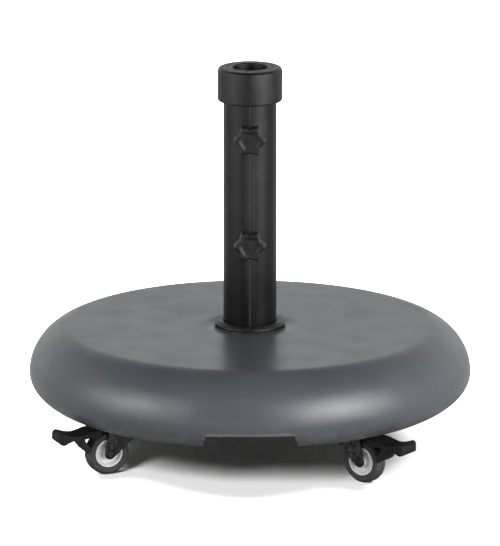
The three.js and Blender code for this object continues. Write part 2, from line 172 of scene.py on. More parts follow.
def prism(name, outline, low, high, axis="z"):
    """An outline given a thickness along an axis. Along y, the outline is (x, z); along x, (y, z)."""
    def point(u, v, w):
        return {"z": (u, v, w), "y": (u, w, v), "x": (w, u, v)}[axis]
    return rings(name, [[point(u, v, w) for u, v in outline] for w in (low, high)], capped=True)


def boolean(obj, tool, operation):
    """Cuts, joins or intersects obj with tool, and removes tool."""
    modifier = obj.modifiers.new("boolean", "BOOLEAN")
    modifier.operation = operation
    modifier.object = tool
    modifier.solver = "EXACT"
    apply_modifiers(obj)
    bpy.data.objects.remove(tool)
    return obj


def apply_modifiers(obj):
    """Turns what the modifiers make into the object's own mesh."""
    bpy.context.view_layer.update()
    evaluated = obj.evaluated_get(bpy.context.evaluated_depsgraph_get())
    mesh = bpy.data.meshes.new_from_object(evaluated)
    obj.modifiers.clear()
    obj.data = mesh
    return obj


def ease_edges(obj, width, segments, angle):
    """Rounds the edges whose faces meet at more than an angle in degrees."""
    modifier = obj.modifiers.new("edges", "BEVEL")
    modifier.width = width
    modifier.segments = segments
    modifier.limit_method = "ANGLE"
    modifier.angle_limit = math.radians(angle)


def shade(obj, angle=32):
    """Smooth shading, apart from edges sharper than an angle in degrees."""
    obj.data.shade_smooth()
    obj.data.set_sharp_from_angle(angle=math.radians(angle))
    return obj


def stand_for(obj, node, material):
    """The finished piece takes the place of a CAD node: its body and its name."""
    obj.name = node + "_fine"
    obj.data.name = obj.name
    obj.data.materials.clear()
    obj.data.materials.append(material)
    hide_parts(node)
    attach(obj, BODY_OF[node])
    return obj


def extent(node, matrix):
    """Lowest and highest corners of a CAD node along the axes of a local frame."""
    inverse = matrix.inverted()
    points = [inverse @ v.co for v in frame["nodes"][node].data.vertices]
    low = Vector([min(p[k] for p in points) for k in range(3)])
    high = Vector([max(p[k] for p in points) for k in range(3)])
    return low, high


# ---- materials ----------------------------------------------------------------------------------

class Look:
    """A Principled material with short calls for adding nodes."""

    def __init__(self, name):
        self.material = bpy.data.materials.new(name)
        self.material.use_nodes = True
        self.tree = self.material.node_tree
        self.shader = self.tree.nodes["Principled BSDF"]
        self.place = self.add("ShaderNodeTexCoord").outputs["Object"]

    def add(self, kind, settings=None, **inputs):
        """Adds a node. An input is given by its name, or as i and its number."""
        node = self.tree.nodes.new(kind)
        for key, value in (settings or {}).items():
            setattr(node, key, value)
        for key, value in inputs.items():
            socket = node.inputs[int(key[1:])] if key[0] == "i" and key[1:].isdigit() else node.inputs[key]
            self.feed(socket, value)
        return node

    def feed(self, socket, value):
        """Links a socket to an input, or sets the input to a value."""
        if isinstance(value, bpy.types.NodeSocket):
            self.tree.links.new(value, socket)
        else:
            socket.default_value = value

    def noise(self, size, detail=2.0, roughness=0.5, stretch=None, seed=0.0):
        """Noise whose features are about size metres, from 0 to 1."""
        place = self.place
        if stretch is not None or seed:
            place = self.add("ShaderNodeMapping", Vector=place, Location=(seed, seed * 0.7, 0),
                             Scale=stretch or (1, 1, 1)).outputs[0]
        return self.add("ShaderNodeTexNoise", Vector=place, Scale=1 / size, Detail=detail,
                        Roughness=roughness).outputs["Fac"]

    def cells(self, size, place=None):
        """Cells about size metres across: the distance to the nearest cell's middle."""
        return self.add("ShaderNodeTexVoronoi", Vector=place or self.place, Scale=1 / size).outputs["Distance"]

    def ramp(self, value, low, high, to_low=0.0, to_high=1.0):
        """Maps low..high to to_low..to_high, clamped."""
        return self.add("ShaderNodeMapRange", Value=value, **{
            "From Min": low, "From Max": high, "To Min": to_low, "To Max": to_high}).outputs[0]

    def math(self, operation, a, b):
        return self.add("ShaderNodeMath", {"operation": operation}, i0=a, i1=b).outputs[0]

    def mix(self, amount, a, b):
        """Blends two colours."""
        return self.add("ShaderNodeMix", {"data_type": "RGBA"}, i0=amount, i6=a, i7=b).outputs[2]

    def heights(self, *layers):
        """Stacks (value, height in metres) layers of bump."""
        normal = None
        for value, height in layers:
            inputs = {"Height": value, "Distance": height, "Strength": 1.0}
            if normal is not None:
                inputs["Normal"] = normal
            normal = self.add("ShaderNodeBump", **inputs).outputs[0]
        self.feed(self.shader.inputs["Normal"], normal)

    def edges(self, low=0.52, high=0.6):
        """1 on outer edges, 0 elsewhere."""
        return self.ramp(self.add("ShaderNodeNewGeometry").outputs["Pointiness"], low, high)

    def height_above_floor(self):
        return self.add("ShaderNodeSeparateXYZ", Vector=self.place).outputs["Z"]

    def finish(self, colour, roughness, metallic=0.0, **more):
        """Connects the surface's inputs and returns the material."""
        self.feed(self.shader.inputs["Base Color"], colour)
        self.feed(self.shader.inputs["Roughness"], roughness)
        self.feed(self.shader.inputs["Metallic"], metallic)
        for key, value in more.items():
            self.feed(self.shader.inputs[key.replace("_", " ")], value)
        return self.material


def srgb(red, green, blue):
    """Linear colour for 0-255 display values."""
    def linear(value):
        value /= 255
        return value / 12.92 if value <= 0.04045 else ((value + 0.055) / 1.055) ** 2.4
    return (linear(red), linear(green), linear(blue), 1.0)


def slate_plastic():
    """Satin moulded plastic with a fine grain, faint cloudiness, light scuffs and dust low down."""
    look = Look("slate_plastic")
    cloud = look.noise(90 * MM, 3, 0.55)
    colour = look.mix(look.ramp(cloud, 0.35, 0.65), srgb(68, 71, 76), srgb(73, 76, 81))
    speck = look.noise(1.6 * MM, 1, 0.5, seed=3.1)
    colour = look.mix(look.ramp(speck, 0.62, 0.78, 0, 0.25), colour, srgb(88, 91, 96))
    scuffs = look.noise(5 * MM, 4, 0.6, stretch=(0.18, 1.6, 1.0), seed=1.7)
    scuff = look.ramp(scuffs, 0.66, 0.74, 0, 0.35)
    colour = look.mix(scuff, colour, srgb(98, 100, 105))
    colour = look.mix(look.math("MULTIPLY", look.edges(), 0.5), colour, srgb(108, 111, 115))
    dust = look.ramp(look.height_above_floor(), 0.085, 0.06, 0, 1)
    dust = look.math("MULTIPLY", dust, look.ramp(look.noise(14 * MM, 4, 0.65), 0.45, 0.75, 0, 0.35))
    colour = look.mix(dust, colour, srgb(150, 146, 138))
    rough = look.ramp(look.noise(35 * MM, 3), 0.3, 0.7, 0.29, 0.36)
    rough = look.math("ADD", rough, look.math("MULTIPLY", scuff, 0.3))
    rough = look.math("ADD", rough, look.math("MULTIPLY", dust, 0.5))
    look.heights((look.cells(0.9 * MM), 0.010 * MM), (look.noise(28 * MM, 2), 0.12 * MM))
    return look.finish(colour, rough)


def black_plastic():
    """Satin black mouldings: slightly grey on the edges, with a fine spark-eroded grain."""
    look = Look("black_plastic")
    tone = look.noise(12 * MM, 3)
    colour = look.mix(look.ramp(tone, 0.3, 0.7), srgb(6, 6, 7), srgb(10, 10, 11))
    colour = look.mix(look.math("MULTIPLY", look.edges(0.53, 0.62), 0.35), colour, srgb(40, 40, 42))
    rough = look.ramp(look.noise(6 * MM, 3, seed=2.0), 0.3, 0.7, 0.36, 0.48)
    look.heights((look.cells(0.7 * MM), 0.012 * MM))
    return look.finish(colour, rough, Specular_IOR_Level=0.35)


def pedal_nylon():
    """Matt black nylon pedals: dull and scuffed where a shoe presses them, dusty in places."""
    look = Look("pedal_nylon")
    tone = look.noise(8 * MM, 4)
    colour = look.mix(look.ramp(tone, 0.3, 0.7), srgb(8, 8, 9), srgb(13, 13, 14))
    scuff = look.ramp(look.noise(2.5 * MM, 5, 0.7, stretch=(1, 0.4, 1), seed=3.0), 0.6, 0.75, 0, 0.35)
    colour = look.mix(scuff, colour, srgb(46, 45, 44))
    colour = look.mix(look.math("MULTIPLY", look.edges(0.53, 0.62), 0.3), colour, srgb(44, 44, 45))
    rough = look.math("ADD", look.ramp(tone, 0.3, 0.7, 0.58, 0.7), look.math("MULTIPLY", scuff, 0.2))
    look.heights((look.cells(0.9 * MM), 0.03 * MM))
    return look.finish(colour, rough, Specular_IOR_Level=0.2)


def powder_coat():
    """Black powder coat on the steel tube: a soft orange-peel ripple and a semi-gloss sheen."""
    look = Look("powder_coat")
    tone = look.noise(60 * MM, 3)
    colour = look.mix(look.ramp(tone, 0.35, 0.65), srgb(8, 8, 9), srgb(13, 13, 14))
    rub = look.ramp(look.noise(3 * MM, 4, 0.6, stretch=(1, 1, 0.12), seed=5.0), 0.66, 0.76, 0, 0.3)
    colour = look.mix(rub, colour, srgb(46, 46, 47))
    colour = look.mix(look.math("MULTIPLY", look.edges(0.53, 0.6), 0.4), colour, srgb(70, 70, 71))
    rough = look.ramp(look.noise(20 * MM, 2, seed=4.0), 0.3, 0.7, 0.3, 0.37)
    rough = look.math("ADD", rough, look.math("MULTIPLY", rub, 0.3))
    look.heights((look.noise(2.2 * MM, 1, 0.4), 0.035 * MM))
    return look.finish(colour, rough, Specular_IOR_Level=0.27)


def fork_paint():
    """Stamped steel in thin satin black paint, worn to grey on the edges, dusty near the floor."""
    look = Look("fork_paint")
    tone = look.noise(9 * MM, 4)
    colour = look.mix(look.ramp(tone, 0.3, 0.7), srgb(7, 7, 8), srgb(12, 12, 12))
    worn = look.math("MULTIPLY", look.edges(0.53, 0.6), look.ramp(look.noise(3 * MM, 4), 0.45, 0.6))
    colour = look.mix(look.math("MULTIPLY", worn, 0.4), colour, srgb(100, 100, 102))
    dust = look.ramp(look.noise(7 * MM, 4, 0.65, seed=1.0), 0.5, 0.8, 0, 0.12)
    colour = look.mix(dust, colour, srgb(110, 105, 97))
    rough = look.math("ADD", look.ramp(tone, 0.3, 0.7, 0.36, 0.46), look.math("MULTIPLY", dust, 0.8))
    look.heights((look.noise(1.4 * MM, 2), 0.02 * MM))
    return look.finish(colour, rough, Specular_IOR_Level=0.22)


def zinc_steel():
    """Zinc-plated steel: a crystalline bloom, fine brushing and a little tarnish."""
    look = Look("zinc_steel")
    bloom = look.cells(3.5 * MM)
    colour = look.mix(look.ramp(bloom, 0.1, 0.6), srgb(176, 178, 180), srgb(150, 154, 156))
    tarnish = look.ramp(look.noise(6 * MM, 5, 0.65, seed=2.0), 0.55, 0.75, 0, 0.6)
    colour = look.mix(tarnish, colour, srgb(110, 106, 98))
    rough = look.math("ADD", look.ramp(bloom, 0.1, 0.6, 0.28, 0.4), look.math("MULTIPLY", tarnish, 0.35))
    look.heights((look.noise(0.5 * MM, 2, stretch=(1, 1, 8)), 0.01 * MM))
    return look.finish(colour, rough, metallic=1.0)


def grey_nylon():
    """The wheels' light grey bodies: satin nylon with faint flow marks and grime in the recess."""
    look = Look("grey_nylon")
    flow = look.noise(10 * MM, 4, 0.6, stretch=(1, 1, 0.3))
    colour = look.mix(look.ramp(flow, 0.3, 0.7), srgb(216, 217, 217), srgb(228, 229, 229))
    grime = look.ramp(look.noise(4 * MM, 5, 0.7, seed=1.3), 0.5, 0.78, 0, 0.4)
    colour = look.mix(grime, colour, srgb(150, 146, 140))
    rough = look.math("ADD", look.ramp(flow, 0.3, 0.7, 0.36, 0.46), look.math("MULTIPLY", grime, 0.5))
    look.heights((look.cells(0.8 * MM), 0.01 * MM))
    return look.finish(colour, rough)


def castor_rubber():
    """Black tyres: matte, scuffed grey where they meet the floor."""
    look = Look("castor_rubber")
    tone = look.noise(5 * MM, 4)
    colour = look.mix(look.ramp(tone, 0.3, 0.7), srgb(30, 30, 31), srgb(40, 40, 41))
    dust = look.ramp(look.noise(3 * MM, 5, 0.7, seed=2.2), 0.48, 0.75, 0, 0.35)
    colour = look.mix(dust, colour, srgb(112, 108, 102))
    rough = look.ramp(tone, 0.3, 0.7, 0.66, 0.82)
    look.heights((look.noise(0.7 * MM, 3), 0.05 * MM))
    return look.finish(colour, rough)


def concrete():
    """Cast concrete: grey paste with sand, a few darker stones and open air holes, darkened inside with painted shade.
    """
    look = Look("concrete")
    cloud = look.noise(45 * MM, 5, 0.6)
    colour = look.mix(look.ramp(cloud, 0.3, 0.7), srgb(128, 126, 121), srgb(158, 155, 149))
    sand = look.noise(1.2 * MM, 3, 0.7)
    colour = look.mix(look.ramp(sand, 0.55, 0.75, 0, 0.5), colour, srgb(104, 101, 95))
    stones = look.ramp(look.cells(11 * MM), 0.16, 0.1, 0, 0.6)
    colour = look.mix(stones, colour, srgb(98, 97, 96))
    pits_and_painted_shade = look.ramp(look.cells(6.5 * MM, place=look.add("ShaderNodeMapping", Vector=look.place,
                     Location=(0.3, 0.1, 0.2)).outputs[0]), 0.11, 0.05)
    # painted shade: the same mask that sinks the air holes as bump darkens their colour, as if shaded inside
    colour = look.mix(pits_and_painted_shade, colour, srgb(70, 68, 64))
    look.heights((sand, 0.25 * MM), (pits_and_painted_shade, -0.8 * MM), (cloud, 0.6 * MM))
    return look.finish(colour, look.ramp(sand, 0.3, 0.7, 0.8, 0.95))


SLATE = slate_plastic()
BLACK = black_plastic()
PEDAL_BLACK = pedal_nylon()
COAT = powder_coat()
FORK_COAT = fork_paint()
ZINC = zinc_steel()
NYLON = grey_nylon()
RUBBER = castor_rubber()
CONCRETE = concrete()


# ---- disc ---------------------------------------------------------------------------------------

DISC_LOW, DISC_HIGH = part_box("cover_shell")
DISC_R = DISC_HIGH.x
DISC_TOP = DISC_HIGH.z
LIP_Z = DISC_LOW.z
WALL = 3 * MM
SEAT_R = 40.5 * MM          # the recess that the rosette stands in
SEAT_DEPTH = 0.6 * MM
FOOT_HOLE_R = 20 * MM       # under the stem
LIP_R = DISC_R * 0.9
FLAT_R = DISC_R * 0.816
WIDEST_Z = LIP_Z + 31 * MM
GRIP_HALF = 52 * MM         # half the finger notch's width
GRIP_TOP = LIP_Z + 19 * MM
GRIP_CORNER = 8 * MM


def disc_side(inset):
    """The side of the disc, from its lower edge to the rim of the flat top, moved in by inset."""
    rise = WIDEST_Z - LIP_Z
    shoulder = DISC_TOP - WIDEST_Z
    lower = bezier((LIP_R, LIP_Z), (LIP_R, LIP_Z), (DISC_R, WIDEST_Z - 0.677 * rise), (DISC_R, WIDEST_Z), 28)
    upper = bezier((DISC_R, WIDEST_Z), (DISC_R, WIDEST_Z + 0.571 * shoulder),
                   (FLAT_R + 20 * MM, DISC_TOP), (FLAT_R, DISC_TOP), 40)
    line = lower + upper[1:]
    moved = []
    for i, point in enumerate(line):
        ahead = Vector(line[min(i + 1, len(line) - 1)])
        behind = Vector(line[max(i - 1, 0)])
        along = (ahead - behind).normalized()
        moved.append((point[0] - along.y * inset, point[1] + along.x * inset))
    return moved


def grip_tool(side):
    """A block that cuts the finger notch: rounded at its two upper corners."""
    outline = rounded([(-GRIP_HALF, 0, 0), (GRIP_HALF, 0, 0), (GRIP_HALF, GRIP_TOP, GRIP_CORNER),
                       (-GRIP_HALF, GRIP_TOP, GRIP_CORNER)], steps=8)
    reach = sorted((side * (DISC_R + 10 * MM), side * (DISC_R - 50 * MM)))
    return object_from("grip_tool", prism("grip_tool", outline, reach[0], reach[1], axis="y"))


def build_disc():
    """The hollow shell: its side, flat top, recess and rounded lower lip turned in one piece, then notched."""
    outside = disc_side(0)
    inside = disc_side(WALL)
    lip_centre = (Vector(outside[0]) + Vector(inside[0])) / 2
    away = (Vector(outside[0]) - Vector(outside[1])).normalized() * WALL * 0.35
    lip = [(lip_centre.x + away.x, lip_centre.y + away.y)]
    flat = [(FLAT_R + (SEAT_R - FLAT_R) * i / 10, DISC_TOP) for i in range(1, 10)]
    under = [(r, DISC_TOP - WALL) for r, _ in reversed(flat)]
    seat = DISC_TOP - SEAT_DEPTH
    rim = [(SEAT_R + 0.4 * MM, DISC_TOP), (SEAT_R, DISC_TOP - SEAT_DEPTH / 2), (SEAT_R, seat), (FOOT_HOLE_R, seat),
           (FOOT_HOLE_R, DISC_TOP - WALL)]
    profile = lip + outside + flat + rim + under + inside[::-1]
    disc = object_from("disc", turned("disc", profile, 288))
    for side in (-1, 1):
        boolean(disc, grip_tool(side), "DIFFERENCE")
    ease_edges(disc, 0.7 * MM, 2, 50)
    apply_modifiers(disc)
    shade(disc, 40)
    stand_for(disc, "cover_shell", SLATE)


build_disc()


# ---- stem ---------------------------------------------------------------------------------------

TUBE_WALL = 2 * MM
CLAMP_HOLE_R = 5.8 * MM
POLE_BORE_R = 19.6 * MM
RING_GAP = 0.3 * MM         # between the rings and what they fit on
ROSETTE_SKIRT = 3.9 * MM    # height of the recess under the rosette
COLLAR_CAP = 6.7 * MM       # the collar's thickness over the tube's end


def ring_piece(node, material, outline, segments=128, steps=5):
    """A turned ring that takes a CAD ring's place. The outline's points are (radius, height, fillet)."""
    ring = object_from(node, turned(node, rounded(outline, steps), segments))
    return stand_for(shade(ring), node, material)


def build_stem():
    """The tube with its two clamp holes, and the turned rings on and in it."""
    low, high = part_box("stem_tube")
    outer = high.x
    inner = outer - TUBE_WALL
    tube = object_from("tube", turned("tube", rounded([
        (inner, low.z, 0.3 * MM), (outer, low.z, 0.5 * MM),
        (outer, high.z, 0.6 * MM), (inner, high.z, 0.3 * MM)], 3), 160))
    for level in LEVELS:
        boss_low, boss_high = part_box(f"clamp_boss_{level}")
        hole = object_from("hole", turned("hole", [
            (0, 0), (CLAMP_HOLE_R, 0), (CLAMP_HOLE_R, 30 * MM), (0, 30 * MM)], 48, True))
        hole.data.transform(Matrix.Rotation(math.radians(90), 4, "X"))
        hole.data.transform(Matrix.Translation((0, -15 * MM, (boss_low.z + boss_high.z) / 2)))
        boolean(tube, hole, "DIFFERENCE")
    stand_for(shade(tube), "stem_tube", COAT)

    low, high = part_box("stem_rosette")
    rim = high.x
    ring_piece("stem_rosette", BLACK, [
        (outer + RING_GAP, low.z + ROSETTE_SKIRT, 0), (34.3 * MM, low.z + ROSETTE_SKIRT, 0), (34.3 * MM, low.z, 0),
        (rim, low.z, 0.4 * MM), (rim, low.z + 2.6 * MM, 1.2 * MM), (rim - 3 * MM, high.z, 2 * MM),
        (outer + RING_GAP, high.z, 0.6 * MM)], 144)

    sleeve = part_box("reducer_sleeve")[1].x
    low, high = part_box("tube_collar")
    rim = high.x
    ring_piece("tube_collar", BLACK, [
        (outer + RING_GAP, low.z, 0.4 * MM), (rim, low.z, 2.2 * MM), (rim, high.z, 6 * MM),
        (sleeve + RING_GAP, high.z, 0.5 * MM), (sleeve + RING_GAP, high.z - COLLAR_CAP, 0),
        (outer + RING_GAP, high.z - COLLAR_CAP, 0)], 160, 8)

    low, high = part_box("reducer_sleeve")
    ring_piece("reducer_sleeve", BLACK, [
        (POLE_BORE_R, low.z, 0.5 * MM), (high.x, low.z, 0.5 * MM), (high.x, high.z, 1 * MM),
        (POLE_BORE_R, high.z, 1.8 * MM)], 128)

    low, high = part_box("pole_seat_ring")
    ring_piece("pole_seat_ring", BLACK, [
        (POLE_BORE_R, low.z, 0.5 * MM), (high.x, low.z, 0.5 * MM), (high.x, high.z, 0.8 * MM),
        (POLE_BORE_R + 3 * MM, high.z, 0.8 * MM), (POLE_BORE_R, high.z - 5 * MM, 1.5 * MM)], 96)


build_stem()


# ---- clamp knobs --------------------------------------------------------------------------------

KNOB_LOBES = 6
KNOB_LOBE = 4 * MM          # how far the grip swells and narrows
KNOB_STEPS = 144            # points round the grip
KNOB_SOFT = 3 * MM          # radius of the grip's edges
KNOB_HUB_R = 9.5 * MM
KNOB_HUB_DEPTH = 3 * MM
KNOB_BORE_R = 5.2 * MM
SCREW_R = 4.9 * MM
SCREW_PITCH = 1.5 * MM
SCREW_NOSE = 1.8 * MM       # the plain end that turns in the pad
PAD_R = 8 * MM
BOSS_BORE_R = 5.3 * MM


def facing_front(x, depth, z):
    """A matrix that lays the Z axis along -Y and puts the origin at (x, -depth, z)."""
    return Matrix.Translation((x, -depth, z)) @ Matrix.Rotation(math.radians(90), 4, "X")


def star_ring(radius, lobe, height):
    """A ring that swells and narrows round the circle."""
    points = []
    for i in range(KNOB_STEPS):
        angle = 2 * math.pi * i / KNOB_STEPS
        wave = (1 - math.cos(KNOB_LOBES * angle)) / 2
        r = radius - lobe * wave ** 0.8
        points.append((r * math.cos(angle), r * math.sin(angle), height))
    return points


def knob_mesh(radius, depth):
    """A hand knob on +Z: a plain hub, then a lobed grip with soft edges and a dished face."""
    layers = [star_ring(KNOB_BORE_R, 0, KNOB_HUB_DEPTH + 9 * MM), star_ring(KNOB_BORE_R, 0, 0),
              star_ring(KNOB_HUB_R - 0.5 * MM, 0, 0), star_ring(KNOB_HUB_R, 0, 0.5 * MM),
              star_ring(KNOB_HUB_R, 0, KNOB_HUB_DEPTH - 1 * MM),
              star_ring(KNOB_HUB_R + 1 * MM, 0, KNOB_HUB_DEPTH)]
    for i in range(9):
        turn = math.radians(90 * i / 8)
        layers.append(star_ring(radius - KNOB_SOFT * (1 - math.sin(turn)), KNOB_LOBE,
                                KNOB_HUB_DEPTH + KNOB_SOFT * (1 - math.cos(turn))))
    for i in range(11):
        turn = math.radians(90 * i / 10)
        layers.append(star_ring(radius - KNOB_SOFT * (1 - math.cos(turn)), KNOB_LOBE * (1 - 0.15 * i / 10),
                                depth - KNOB_SOFT * (1 - math.sin(turn))))
    for share, drop in ((0.72, 0.05), (0.62, 0.25), (0.54, 1.0), (0.5, 1.2)):
        layers.append(star_ring(radius * share, KNOB_LOBE * share * 0.4, depth - drop * MM))
    layers += [star_ring(radius * 0.3, 0, depth - 1.1 * MM), star_ring(radius * 0.05, 0, depth - 1.0 * MM)]
    return rings("knob", layers, capped=True)


def threaded(name, radius, pitch, low, high, segments=40):
    """A screw on +Z with a real helical thread and a chamfer at both ends."""
    depth = 0.55 * pitch
    steps = max(4, round((high - low) / pitch * 8))
    layers = []
    for k in range(steps + 1):
        height = low + (high - low) * k / steps
        end = min(height - low, high - height)
        layer = []
        for i in range(segments):
            share = i / segments
            phase = (height / pitch - share) % 1
            groove = abs(2 * phase - 1)
            r = radius - depth * max(0, groove - 0.12) / 0.88
            r = min(r, radius - depth + end)
            layer.append((r * math.cos(2 * math.pi * share), r * math.sin(2 * math.pi * share), height))
        layers.append(layer)
    return rings(name, layers, capped=True)


def build_clamp(level):
    """A hand knob, its screw, and the pad that the screw presses on the pole."""
    joint = JOINTS[f"knob_turn_{level}"]
    height = joint["pos_m"][2]
    head_low, head_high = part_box(f"knob_head_{level}")
    knob = object_from("knob", knob_mesh(head_high.x, head_high.y - head_low.y),
                       facing_front(0, -head_high.y, height))
    stand_for(shade(knob, 50), f"knob_head_{level}", BLACK)

    screw_low, screw_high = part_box(f"clamp_screw_{level}")
    screw = object_from("screw", threaded("screw", SCREW_R, SCREW_PITCH, SCREW_NOSE, screw_high.y - screw_low.y),
                        facing_front(0, -screw_high.y, height))
    tip = object_from("tip", turned("tip", [
        (0, 0), (2.6 * MM, 0), (3 * MM, 0.4 * MM), (3 * MM, 3 * MM), (0, 3 * MM)], 32, True),
        facing_front(0, -screw_high.y, height))
    boolean(screw, tip, "UNION")
    stand_for(shade(screw, 40), f"clamp_screw_{level}", ZINC)

    pad_low, pad_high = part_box(f"clamp_pad_{level}")
    thick = pad_high.y - pad_low.y
    pad = object_from("pad", turned("pad", rounded([
        (0, 0, 0), (PAD_R, 0, 0.6 * MM), (PAD_R, thick - 1 * MM, 0.3 * MM), (PAD_R - 1 * MM, thick, 0.3 * MM),
        (3.3 * MM, thick, 0), (3.3 * MM, thick - 1.5 * MM, 0), (0, thick - 1.5 * MM, 0)], 3, False), 64, True),
        facing_front(0, -pad_high.y, height))
    stand_for(shade(pad), f"clamp_pad_{level}", BLACK)


def build_boss(level):
    """A threaded boss with a weld bead where it meets the tube."""
    low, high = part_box(f"clamp_boss_{level}")
    tube_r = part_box("stem_tube")[1].x
    height = (low.z + high.z) / 2
    outer = (high.z - low.z) / 2
    depth = high.y - low.y
    boss = object_from("boss", turned("boss", rounded([
        (BOSS_BORE_R, 0, 0), (outer, 0, 0), (outer, depth, 1.2 * MM), (BOSS_BORE_R, depth, 0.8 * MM)], 4), 72),
        facing_front(0, -high.y, height))
    bead = object_from("bead", weld_ring(outer, tube_r, height))
    boolean(boss, bead, "UNION")
    trim_r, trim_low, trim_high = tube_r + 0.3 * MM, height - 30 * MM, height + 30 * MM
    trim = object_from("trim", turned("trim", [
        (0, trim_low), (trim_r, trim_low), (trim_r, trim_high), (0, trim_high)], 160, True))
    boolean(boss, trim, "DIFFERENCE")
    stand_for(shade(boss, 40), f"clamp_boss_{level}", COAT)


def weld_ring(radius, tube_r, height):
    """A slightly uneven bead that follows the line where a boss meets the tube."""
    steps, sides = 120, 10
    layers = []
    for i in range(steps):
        turn = 2 * math.pi * i / steps
        swell = 1.5 * MM + 0.25 * MM * math.sin(23 * turn) + 0.15 * MM * math.sin(7 * turn + 1)
        x, z = radius * math.cos(turn), radius * math.sin(turn)
        surface = math.sqrt(tube_r ** 2 - x ** 2)
        centre = Vector((x, -surface - 0.4 * MM, height + z))
        out = Vector((math.cos(turn), 0, math.sin(turn)))
        front = Vector((0, -1, 0))
        layers.append([centre + (out * math.cos(2 * math.pi * k / sides) + front * math.sin(2 * math.pi * k / sides))
                       * swell for k in range(sides)])
    return rings("weld", layers)


for clamp_level in LEVELS:
    build_clamp(clamp_level)
    build_boss(clamp_level)


# ---- castors ------------------------------------------------------------------------------------

HUB_BORE_R = 3.35 * MM
FORK_SHEET = 2 * MM
FORK_HALF = 11.6 * MM       # half the fork's width
FORK_EYE_R = 6.2 * MM
AXLE_HOLE_R = 3.3 * MM
PIN_HOLE_R = 1.9 * MM
KING_HOLE_R = 5 * MM
RIVET_LEG = 11.9 * MM       # from the middle to under a rivet's head
PEDAL_NOSE_R = 6.4 * MM
PEDAL_NOSE_Z = 47 * MM
PEDAL_NECK = 9.2 * MM       # half the pedal's width between the fork's legs


def castor_frame(corner):
    """Local axes of a castor: X from the swivel axis to the axle, Y along the axle, origin on the floor."""
    swivel = Vector(JOINTS[f"swivel_{corner}"]["pos_m"])
    axle = Vector(JOINTS[f"wheel_spin_{corner}"]["pos_m"])
    out = Vector((axle.x - swivel.x, axle.y - swivel.y, 0)).normalized()
    side = Vector((-out.y, out.x, 0))
    matrix = Matrix((out, side, Vector((0, 0, 1)))).transposed().to_4x4()
    return Matrix.Translation((swivel.x, swivel.y, 0)) @ matrix


def across(x, z):
    """Lays the Z axis along the castor's Y axis, through (x, z)."""
    return Matrix.Translation((x, 0, z)) @ Matrix.Rotation(math.radians(-90), 4, "X")


def rod_tool(radius, x, z, segments=48):
    """A rod that drills a hole across a castor."""
    half = 30 * MM
    return object_from("rod", turned("rod", [(0, -half), (radius, -half), (radius, half), (0, half)],
                                     segments, True), across(x, z))


def build_castor(corner):
    """One castor: tyre, hub, fork, pedal, the parts above the fork, and the two rivets."""
    home = castor_frame(corner)
    tyre_low, tyre_high = extent(f"tyre_{corner}", home)
    wheel_r = (tyre_high.z - tyre_low.z) / 2
    trail = (tyre_low.x + tyre_high.x) / 2
    edge = tyre_high.y
    hub_low, hub_high = extent(f"hub_{corner}", home)
    hub_r = (hub_high.z - hub_low.z) / 2
    wheel_place = home @ across(trail, wheel_r)

    inner = hub_r + 0.25 * MM
    tyre_line = rounded([
        (inner, -edge + 0.3 * MM, 0.4 * MM), (wheel_r - 3 * MM, -edge, 1.5 * MM), (wheel_r, -edge + 4.5 * MM, 4 * MM),
        (wheel_r, edge - 4.5 * MM, 4 * MM), (wheel_r - 3 * MM, edge, 1.5 * MM), (inner, edge - 0.3 * MM, 0.4 * MM)], 6)
    tyre = object_from("tyre", turned("tyre", tyre_line, 128), wheel_place)
    stand_for(shade(tyre, 45), f"tyre_{corner}", RUBBER)

    boss_half = hub_high.y
    half = [(HUB_BORE_R, boss_half, 0.3), (5.5 * MM, boss_half, 0.6), (6.1 * MM, 5 * MM, 0.8), (7.4 * MM, 4 * MM, 1),
            (hub_r - 3.6 * MM, 4 * MM, 1.2), (hub_r - 2.2 * MM, 8 * MM, 0.7), (hub_r, 8 * MM, 0.4)]
    lower = [(r, -h, f * MM) for r, h, f in half]
    upper = [(r, h, f * MM) for r, h, f in reversed(half)]
    hub = object_from("hub", turned("hub", rounded(lower + upper, 4), 128), wheel_place)
    stand_for(shade(hub), f"hub_{corner}", NYLON)

    build_fork(corner, home, trail, wheel_r)
    build_pedal(corner, home, trail, wheel_r)
    build_castor_head(corner, home)
    for node, shank, head_r, metal in ((f"axle_{corner}", 3 * MM, 4.8 * MM, FORK_COAT),
                                       (f"pedal_pin_{corner}", 1.6 * MM, 2.8 * MM, ZINC)):
        low, high = extent(node, home)
        end = high.y
        dome = (end - RIVET_LEG) * 0.9
        line = [(0, -end, 0), (head_r * 0.75, -end, dome), (head_r, -RIVET_LEG, 0.15 * MM), (shank, -RIVET_LEG, 0),
                (shank, RIVET_LEG, 0), (head_r, RIVET_LEG, 0.15 * MM), (head_r * 0.75, end, dome), (0, end, 0)]
        rivet = object_from("rivet", turned("rivet", rounded(line, 5, False), 48, True),
                            home @ across((low.x + high.x) / 2, (low.z + high.z) / 2))
        stand_for(shade(rivet), node, metal)


